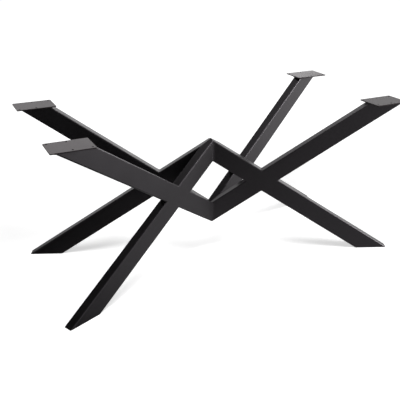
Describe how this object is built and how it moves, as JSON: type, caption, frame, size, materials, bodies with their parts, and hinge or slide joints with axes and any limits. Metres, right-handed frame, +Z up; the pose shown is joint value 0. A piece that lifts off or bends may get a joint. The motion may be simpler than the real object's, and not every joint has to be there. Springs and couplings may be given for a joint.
{
  "type": "x shaped table leg",
  "caption": "Table base of crossed flat steel tubes: bars fall from an upper hub to the floor and rise from a lower hub to mounting plates.",
  "frame": {"origin": "on the floor, under the middle of the two hubs", "axes": "+X along the table's length, +Y to its back, +Z up"},
  "size_m": [1.5374, 0.6912, 0.7],
  "materials": {
    "black_powder_coat": "matt black powder coat"
  },
  "bodies": {
    "root": {"upper_hub_welds": "black_powder_coat", "lower_hub_welds": "black_powder_coat", "back_right_plate_bar": "black_powder_coat", "back_right_foot_bar_upper": "black_powder_coat", "back_right_foot_bar_lower": "black_powder_coat", "back_right_mounting_plate": "black_powder_coat", "back_right_foot_end_plate": "black_powder_coat", "back_right_plate_weld": "black_powder_coat", "back_right_crossing_weld": "black_powder_coat", "back_left_plate_bar": "black_powder_coat", "back_left_foot_bar_upper": "black_powder_coat", "back_left_foot_bar_lower": "black_powder_coat", "back_left_mounting_plate": "black_powder_coat", "back_left_foot_end_plate": "black_powder_coat", "back_left_plate_weld": "black_powder_coat", "back_left_crossing_weld": "black_powder_coat", "front_right_plate_bar": "black_powder_coat", "front_right_foot_bar_upper": "black_powder_coat", "front_right_foot_bar_lower": "black_powder_coat", "front_right_mounting_plate": "black_powder_coat", "front_right_foot_end_plate": "black_powder_coat", "front_right_plate_weld": "black_powder_coat", "front_right_crossing_weld": "black_powder_coat", "front_left_plate_bar": "black_powder_coat", "front_left_foot_bar_upper": "black_powder_coat", "front_left_foot_bar_lower": "black_powder_coat", "front_left_mounting_plate": "black_powder_coat", "front_left_foot_end_plate": "black_powder_coat", "front_left_plate_weld": "black_powder_coat", "front_left_crossing_weld": "black_powder_coat"}
  },
  "joints": []
}
